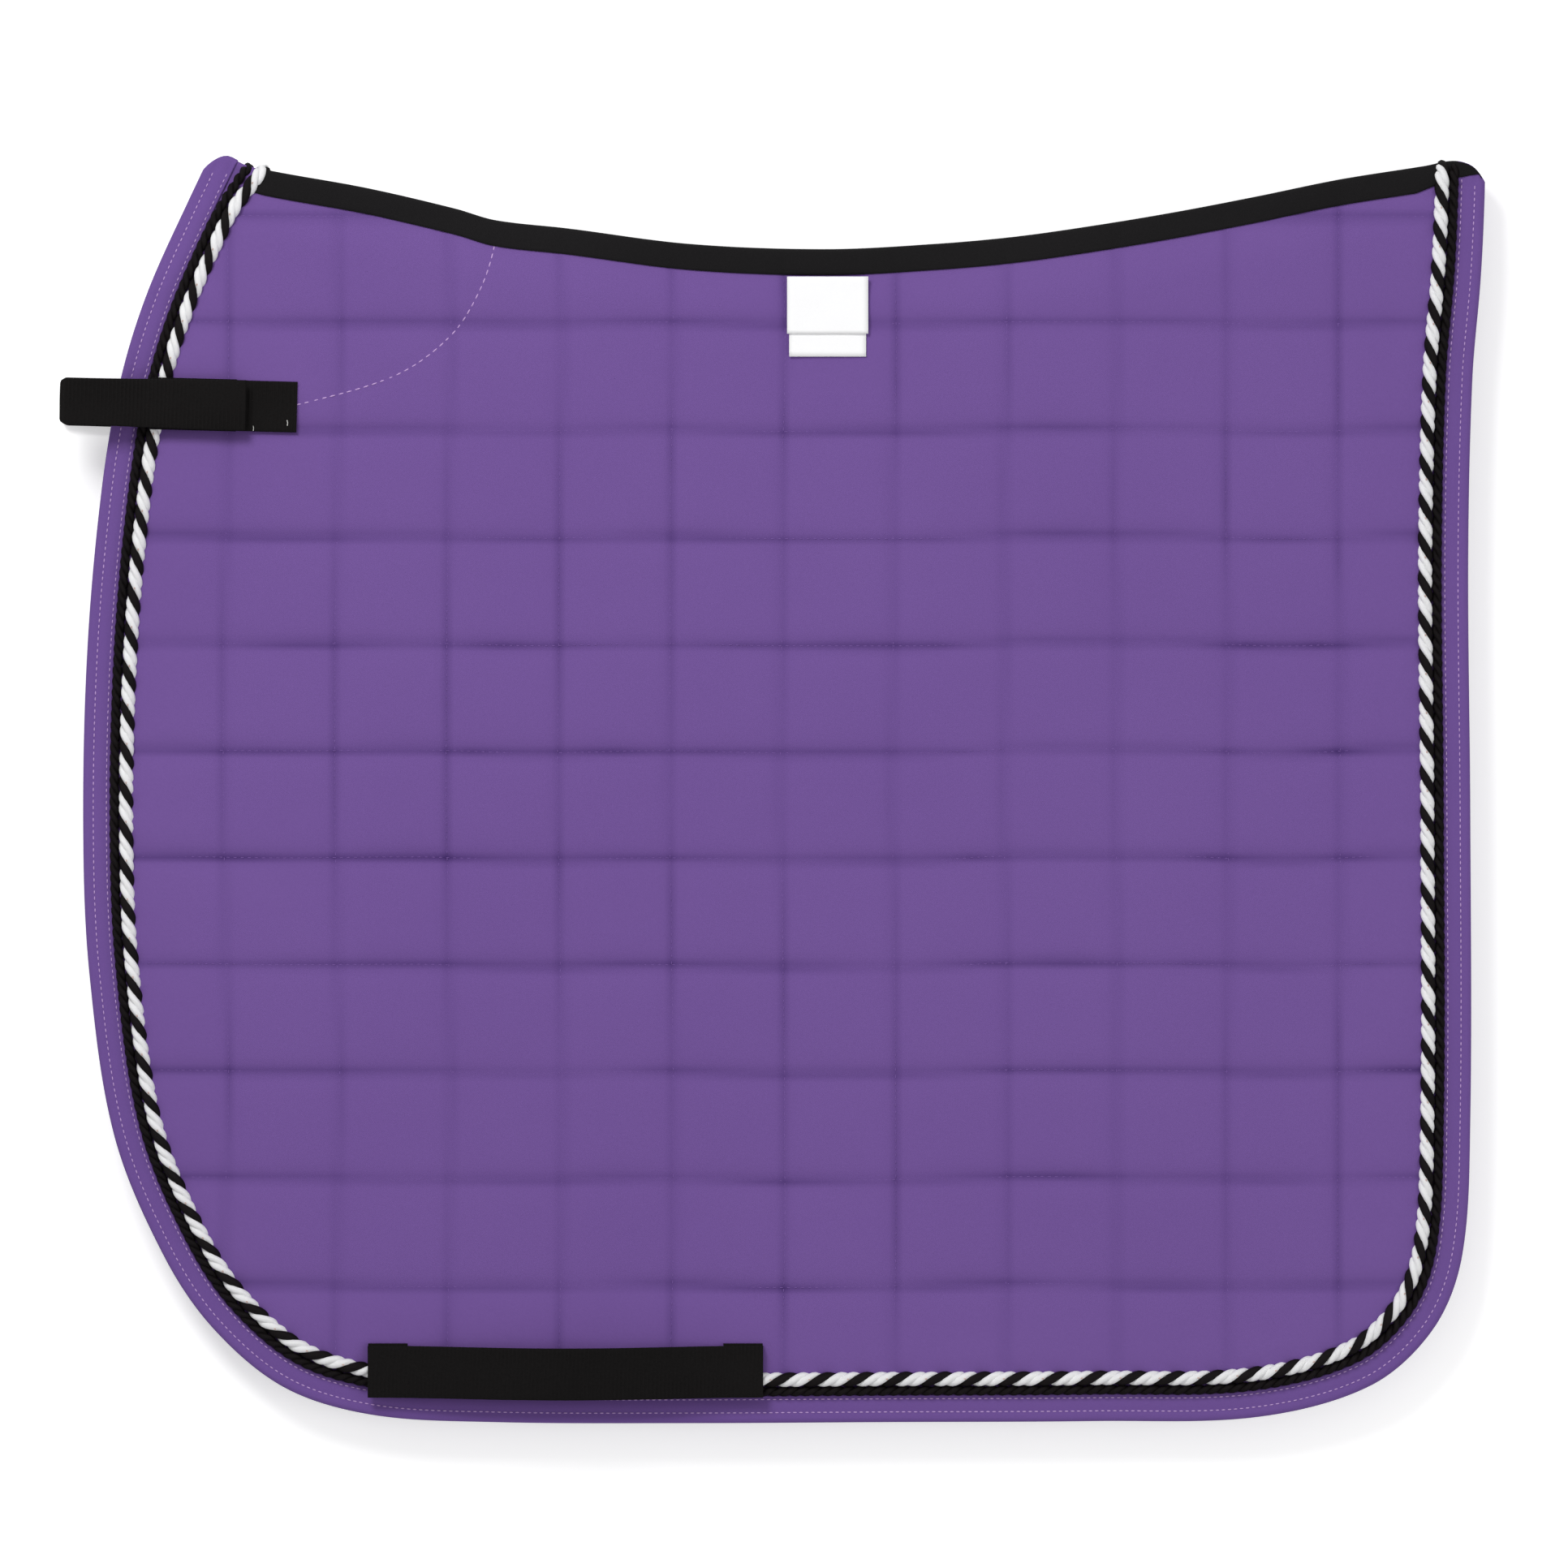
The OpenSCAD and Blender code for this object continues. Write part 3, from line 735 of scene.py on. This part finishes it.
def tape_piece():
    top = []
    for s, proud in TAPE_SECTION:
        xs = np.linspace(TAPE_FRONT - 0.45 * s, TAPE_REAR, TAPE_ROWS)
        y = spine_at(xs) - s * tape_depth(xs)
        high = flap_heights(xs, y, SEED[1])[0]
        d = inside_by(xs, y)
        high = np.where(d < 14, np.maximum(high, middle(xs, y) + 1.7), high)
        top.append(np.column_stack([xs, y, high + proud]))
    xs = np.linspace(TAPE_FRONT, TAPE_REAR, TAPE_ROWS)
    crest = np.column_stack([xs, spine_at(xs) + 0.1, np.zeros(len(xs))])
    rows = [to_frame(t) for t in top] + [to_frame(crest)] + [to_frame(t, -1) for t in top[::-1]]
    return sweep_piece("spine_tape", np.array(rows).transpose(1, 0, 2), TAPE)


tape = tape_piece()
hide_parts("spine_binding")
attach(tape, "off_flap")


# %% [markdown]
# ## Webbing
# The billet strap and the girth loop are woven webbing: flat, ribbed across, with rounded selvedges.
# A strip of it is a rounded section swept along a line of points seen from the side.

# %% The webbing strip
WEB_W = (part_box("near_girth_loop")[1][1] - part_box("near_girth_loop")[0][1]) / MM
WEB_T = 1.5


def web_section(width, thick):
    half, r = width / 2, thick / 2
    across = np.linspace(-half + r, half - r, 15)
    top = [(v, r) for v in across]
    end = [(half - r + r * math.cos(a), r * math.sin(a)) for a in (math.pi / 4, 0, -math.pi / 4)]
    bottom = [(v, -r) for v in across[::-1]]
    return np.array(top + end + bottom + [(-v, h) for v, h in end[::-1]])


RIB, RINGS_PER_RIB = 1.9, 4


def web_strip(name, run, origin, turn, side, width=WEB_W, rib_h=0.11, taper=0.0, corner=0.0, sag=0.0):
    """run is a list of (along, height) points; origin and turn place it on the pad."""
    run = np.array(run, float)
    walked = np.concatenate([[0], np.cumsum(np.linalg.norm(np.diff(run, axis=0), axis=1))])
    length = walked[-1]
    at = np.linspace(0, length, max(40, int(length / RIB * RINGS_PER_RIB)))
    u, h = np.interp(at, walked, run[:, 0]), np.interp(at, walked, run[:, 1])
    du, dh = np.gradient(u), np.gradient(h)
    size = np.hypot(du, dh)
    nu, nh = -dh / size, du / size
    section = web_section(width, WEB_T)
    c, s = math.cos(math.radians(turn)), math.sin(math.radians(turn))
    rings = []
    for k in range(len(at)):
        grow = 1 + rib_h * math.cos(2 * math.pi * at[k] / RIB)
        inset = taper * float(ease((-u[k] - 10) / 70))
        left = u[k] - u.min()
        if left < corner:
            inset += 0.8 * (corner - math.sqrt(corner ** 2 - (corner - left) ** 2))
        v = section[:, 0] * (1 - 2 * inset / width) - sag * math.sin(math.pi * at[k] / length) ** 2
        wave = 0.08 * np.sin(at[k] / 6.0 + section[:, 0] / 5)
        t = section[:, 1] * grow + wave
        uu, zz = u[k] + nu[k] * t, h[k] + nh[k] * t
        x, y = origin[0] + uu * c - v * s, origin[1] + uu * s + v * c
        rings.append(to_frame(np.column_stack([x, y, zz]), side))
    return sweep_piece(name, np.array(rings), WEBBING)


def rounded_run(points, radius=3.0, steps=6):
    """The corners of a run of straight pieces, rounded with short curves."""
    points = [np.array(p, float) for p in points]
    out = [points[0]]
    for a, b, c in zip(points, points[1:], points[2:]):
        r = min(radius, np.linalg.norm(a - b) / 2, np.linalg.norm(c - b) / 2)
        p, q = b + (a - b) / np.linalg.norm(a - b) * r, b + (c - b) / np.linalg.norm(c - b) * r
        for t in np.linspace(0, 1, steps):
            out.append((1 - t) ** 2 * p + 2 * t * (1 - t) * b + t ** 2 * q)
    return out + [points[-1]]


# %% [markdown]
# ### Billet strap
# The strap is sewn down by a box of stitches, runs out over the cords and the edge, turns back at its
# end in an eye and closes on itself with hook-and-loop tape.

# %% The straps of both flaps
STRAP_AT, STRAP_TURN = (-257, 184), -1.5
BOX_LENGTH, STRAP_LENGTH, STRAP_W = 23, 89, 24.4
CLOSED_GAP = 2.3  # the hook and loop tapes fill this between the strap's layers
EYE_END, SLOPE_END, RETURN_END = -62, -50, -1.5
STRAP_FINISH = {"width": STRAP_W, "taper": 0.9, "corner": 2.5}


def box_seat(side):
    """The height of the cover under the strap's sewn box."""
    return flap_heights(np.array([-250.0]), np.array([184.0]), SEED[side])[0][0]


def top_of(node):
    """The node's farthest height from the folding plane."""
    low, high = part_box(node)
    return max(abs(low[2] / MM - FOLD_Z), abs(high[2] / MM - FOLD_Z))


strap_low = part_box("near_strap_webbing")[0][2] / MM - FOLD_Z
level = strap_low + WEB_T / 2
closed = strap_low + WEB_T + CLOSED_GAP + WEB_T / 2
for side, name in SIDES:
    base = box_seat(side) + WEB_T / 2
    high = top_of(f"{name}_strap_return") - WEB_T / 2
    lower = rounded_run([(BOX_LENGTH, base), (2, base), (-22, level), (-STRAP_LENGTH, level)], 6)
    under = web_strip(f"{name}_strap_lower_layer", lower, STRAP_AT, STRAP_TURN, side, rib_h=0.3,
                      **STRAP_FINISH)
    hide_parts(f"{name}_strap_webbing", f"{name}_strap_box")
    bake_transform(under)
    end = -STRAP_LENGTH - 0.9
    upper = rounded_run([(end + 3, level + 0.1), (end, level + 0.3), (end, high), (EYE_END, high),
                         (SLOPE_END, closed), (RETURN_END, closed)], 2.2)
    over = web_strip(f"{name}_strap_return_layer", upper, STRAP_AT, STRAP_TURN, side, rib_h=0.32,
                     **STRAP_FINISH)
    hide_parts(f"{name}_strap_return")
    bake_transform(over)
    for tape_name in ("hook_tape", "loop_tape"):
        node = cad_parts[f"{name}_{tape_name}"]
        node.data.materials.clear()
        node.data.materials.append(FASTENER)

# %% [markdown]
# ### Girth loop
# The girth passes between this webbing and the pad. Both ends are turned under and sewn in tabs; the
# middle stands a little off the cord on the near side and is pressed flat beneath the off side.

# %% The girth loops of both flaps
GIRTH_AT, GIRTH_HALF, TAB = (-105, -280), 95, 19
TAB_AT, TAB_W, TAB_DROP = (-105, -279.3), 25.8, 1.6
for side, name in SIDES:
    peak = top_of(f"{name}_girth_loop") - WEB_T / 2
    free = GIRTH_HALF - TAB
    arch = [(-free + 2 * free * t, level + (peak - level) * math.sin(math.pi * t))
            for t in np.linspace(0, 1, 40)]
    run = [(-GIRTH_HALF, level)] + arch + [(GIRTH_HALF, level)]
    loop = web_strip(f"{name}_girth_loop_webbing", run, GIRTH_AT, 0, side, rib_h=0.14, sag=1.2)
    pads = []
    for k, x in enumerate((-GIRTH_HALF + 0.2, GIRTH_HALF - TAB - 0.2)):
        fold = [(x, level - TAB_DROP), (x + TAB, level - TAB_DROP)]
        pads.append(web_strip(f"{name}_tab_{k}", fold, TAB_AT, 0, side, width=TAB_W))
    loop = joined(f"{name}_girth_loop_webbing", [loop] + pads)
    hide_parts(f"{name}_girth_loop")
    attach(loop, "near_flap" if side > 0 else "off_flap")

# %% [markdown]
# ## Label
# Two layers of white satin hang below the tape. They carry nothing, so the lesson leaves them bare.

# %% The label's two layers
LABEL_ROWS, LABEL_T, TUCK = 15, 0.35, 0.0025


def label_piece(name, low, high, lift, seed):
    low, high = np.array(low) / MM, np.array(high) / MM
    us, vs = np.linspace(0, 1, LABEL_ROWS), np.linspace(0, 1, LABEL_ROWS)
    tops = []
    for v in vs:
        y = high[1] + (low[1] - high[1]) * v - shift[1]
        x = low[0] + (high[0] - low[0]) * us - shift[0]
        ys = np.full(len(us), y)
        curl = 0.5 * v ** 2 + 0.25 * soft_noise(x, ys, 14, 12, seed)
        tops.append(np.column_stack([x, ys, FACE + lift + curl]))
    tops = np.array(tops)
    thick = np.array([0, 0, LABEL_T])
    rows, cols = tops.shape[:2]
    points = np.vstack([tops.reshape(-1, 3), tops.reshape(-1, 3) - thick])
    n = rows * cols
    faces = []
    for i in range(rows - 1):
        for k in range(cols - 1):
            a = i * cols + k
            faces.append((a, a + cols, a + cols + 1, a + 1))
            faces.append((n + a, n + a + 1, n + a + cols + 1, n + a + cols))
    rim = ([k for k in range(cols)] + [i * cols + cols - 1 for i in range(1, rows)]
           + [(rows - 1) * cols + k for k in range(cols - 2, -1, -1)]
           + [i * cols for i in range(rows - 2, 0, -1)])
    for a, b in zip(rim, rim[1:] + rim[:1]):
        faces.append((a, b, b + n, a + n))
    points = to_frame(points)
    return mesh_piece(name, points, facing_out(points, faces), SATIN)


for node, name, lift, seed in (("label_under", "label_under_layer", 1.1, 3),
                               ("label", "label_top_layer", 1.8, 4)):
    low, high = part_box(node)
    piece = label_piece(name, low, (high[0], high[1] + TUCK, high[2]), lift, seed)
    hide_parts(node)
    settle(piece, 1)

# %% [markdown]
# ## Stitches, made by Geometry Nodes
# Every stitch is the same short thread lying on the cloth, so one small mesh is placed along each
# seam line, turned to follow it. The lines are worked out on the surfaces that the thread holds.

# %% The stitch tree
def stitch_tree(name, material):
    tree = bpy.data.node_groups.new(name, "GeometryNodeTree")
    tree.interface.new_socket("Line", in_out="INPUT", socket_type="NodeSocketGeometry")
    for label, value in (("Pitch", 0.0029), ("Length", 0.0019), ("Thickness", 0.0006)):
        tree.interface.new_socket(label, in_out="INPUT", socket_type="NodeSocketFloat").default_value = value
    tree.interface.new_socket("Mesh", in_out="OUTPUT", socket_type="NodeSocketGeometry")
    given, out = tree.nodes.new("NodeGroupInput"), tree.nodes.new("NodeGroupOutput")
    link = tree.links.new
    points = tree.nodes.new("GeometryNodeCurveToPoints")
    points.mode = "LENGTH"
    link(given.outputs["Line"], points.inputs["Curve"])
    link(given.outputs["Pitch"], points.inputs["Length"])
    thread = tree.nodes.new("GeometryNodeMeshUVSphere")
    thread.inputs["Segments"].default_value = 6
    thread.inputs["Rings"].default_value = 4
    thread.inputs["Radius"].default_value = 0.5
    size = tree.nodes.new("ShaderNodeCombineXYZ")
    link(given.outputs["Thickness"], size.inputs[0])
    link(given.outputs["Thickness"], size.inputs[1])
    link(given.outputs["Length"], size.inputs[2])
    placed = tree.nodes.new("GeometryNodeInstanceOnPoints")
    link(points.outputs["Points"], placed.inputs["Points"])
    link(thread.outputs["Mesh"], placed.inputs["Instance"])
    link(points.outputs["Rotation"], placed.inputs["Rotation"])
    link(size.outputs[0], placed.inputs["Scale"])
    whole = tree.nodes.new("GeometryNodeRealizeInstances")
    link(placed.outputs[0], whole.inputs[0])
    even = tree.nodes.new("GeometryNodeSetShadeSmooth")
    link(whole.outputs[0], even.inputs["Geometry"])
    painted = tree.nodes.new("GeometryNodeSetMaterial")
    painted.inputs["Material"].default_value = material
    link(even.outputs[0], painted.inputs[0])
    link(painted.outputs[0], out.inputs[0])
    return tree


PALE_STITCH = stitch_tree("pale_stitches", THREAD)
KNOT_STITCH = stitch_tree("knot_stitches", PALE_KNOT)
SEAM_STITCH = stitch_tree("seam_stitches", SEAM_THREAD)
WHITE_STITCH = stitch_tree("white_stitches", WHITE_THREAD)


# %% Stitch lines on the band, the patch seam and the cords
def band_stitch_line(d, side):
    line = inset_line(d, 1500)[8:-8]
    height = middle(line[:, 0], line[:, 1]) + 1.72
    return to_frame(np.column_stack([line, height]), side)


def on_cover(line, side, proud=0.1):
    high = flap_heights(line[:, 0], line[:, 1], SEED[side])[0]
    return to_frame(np.column_stack([line, high + proud]), side)


for side, name in SIDES:
    rows = [band_stitch_line(5.0, side), band_stitch_line(11.35, side)]
    stitches = grown(f"{name}_band_stitches", rows, PALE_STITCH)
    settle(stitches, side)
    seam = respaced(PATCH_LINE, 300)
    seam = seam[under_spine(seam[:, 0], seam[:, 1]) > 13]
    patch = grown(f"{name}_wither_seam_stitches", [on_cover(seam, side)], PALE_STITCH,
                  Pitch=0.0042, Length=0.003, Thickness=0.00075)
    settle(patch, side)
    print(name, "stitches:", len(stitches.data.polygons))

# %% [markdown]
# The quilting stitches lie at the bottom of their seams. Each line follows the same gentle wander as
# the valley, so it is found by stepping along the seam and correcting its place once.

# %% Quilting stitches
def quilting_lines(side):
    lines, seed = [], SEED[side]
    for step, start, low, high, swap in ((SEAM_DY, SEAM_Y0, -9, 1, False), (SEAM_DX, SEAM_X0, 0, 10, True)):
        for k in range(low, high + 1):
            run = np.arange(-320, 325, 3.0)
            level = np.full(len(run), start + step * k)
            x, y = (level, run) if swap else (run, level)
            if swap:
                x = x - wander_x(x, y, seed)
            else:
                y = y - wander_y(x, y, seed)
            keep = (inside_by(x, y) > 27) & (under_spine(x, y) > 14) & (np.abs(x) < 325) & (y > -290)
            kept = np.nonzero(keep)[0]
            for part in np.split(kept, np.nonzero(np.diff(kept) > 1)[0] + 1):
                if len(part) > 4:
                    lines.append(on_cover(np.column_stack([x, y])[part], side, 0.12))
    return lines


for side, name in SIDES:
    quilting = grown(f"{name}_quilting_stitches", quilting_lines(side), SEAM_STITCH, Pitch=0.0034,
                     Length=0.0019, Thickness=0.00045)
    settle(quilting, side)
    print(name, "quilting stitches:", len(quilting.data.polygons))

# %% [markdown]
# A stitch holds the twisted cord once in each turn, between the silver strands. Three short ends of
# white thread show on the billet strap's sewn box.

# %% Cord knots and loose thread
for side, name in SIDES:
    route = cord_route(TWISTED_IN, TWISTED_D, side) / MM
    route[:, 2] += side * 3.3
    flat = np.nonzero(np.abs(route[:, 2] - FOLD_Z) > 8)[0][4:]
    knots = grown(f"{name}_cord_knots", [route[flat] * MM], KNOT_STITCH, Pitch=PITCH, Length=0.0013,
                  Thickness=0.0008)
    settle(knots, side)

specks = []
for x, y in ((-255.1, 186.8), (-255.1, 174.3), (-238.7, 176.7)):
    high = box_seat(1) + WEB_T + 0.1
    specks.append(to_frame([[x, y, high], [x + 0.2, y - 0.9, high + 0.05], [x + 0.1, y - 1.8, high]]))
loose = grown("near_strap_thread_ends", specks, WHITE_STITCH, Pitch=0.0009, Length=0.0012, Thickness=0.0005)
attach(loose, "near_flap")

# %% [markdown]
# ## Camera, floor and light
# The pad is seen from straight above, from far enough that its two ends look alike. The floor is
# plain white; the lamps are soft and even, with one large lamp a little to one side for the quilting.

# %% The studio
VIEW_W, VIEW_Y, PAD_TOP = 0.7535, 2.34, 0.03
camera_data = bpy.data.cameras.new("camera")
camera = bpy.data.objects.new("camera", camera_data)
bpy.context.collection.objects.link(camera)
camera_z = 12.0
camera.location = (shift[0] * MM, (VIEW_Y + shift[1]) * MM, camera_z)
camera_data.sensor_width = 36
camera_data.lens = camera_data.sensor_width * (camera_z - PAD_TOP) / VIEW_W
bpy.context.scene.camera = camera

FLOOR = bpy.data.materials.new("floor_paper")
FLOOR.use_nodes = True
nodes, links = FLOOR.node_tree.nodes, FLOOR.node_tree.links
paper = nodes["Principled BSDF"]
paper.inputs["Base Color"].default_value = (0.93, 0.93, 0.93, 1)
paper.inputs["Roughness"].default_value = 0.9
paper.inputs["Emission Color"].default_value = (1, 1, 1, 1)
seen = nodes.new("ShaderNodeLightPath")
glow = nodes.new("ShaderNodeMath")
glow.operation = "MULTIPLY"
glow.inputs[1].default_value = 0.4
links.new(seen.outputs["Is Camera Ray"], glow.inputs[0])
links.new(glow.outputs[0], paper.inputs["Emission Strength"])
half = 4.0
floor = mesh_piece("floor", [(-half, -half, 0), (half, -half, 0), (half, half, 0), (-half, half, 0)],
                   [(0, 1, 2, 3)], FLOOR, smooth=False)

world = bpy.data.worlds.new("studio")
bpy.context.scene.world = world
world.use_nodes = True
world.node_tree.nodes["Background"].inputs[0].default_value = (1, 1, 1, 1)
world.node_tree.nodes["Background"].inputs[1].default_value = 0.5


def lamp(name, place, aim, size, power):
    data = bpy.data.lights.new(name, "AREA")
    data.shape = "DISK"
    data.size = size
    data.energy = power
    thing = bpy.data.objects.new(name, data)
    bpy.context.collection.objects.link(thing)
    thing.location = place
    thing.rotation_euler = (Vector(aim) - Vector(place)).to_track_quat("-Z", "Y").to_euler()


lamp("key_lamp", (-0.9, 1.6, 2.0), (0, 0, 0), 1.0, 36)
lamp("fill_lamp", (1.4, -0.6, 2.2), (0, 0, 0), 1.6, 12)
bpy.context.scene.view_settings.view_transform = "Standard"
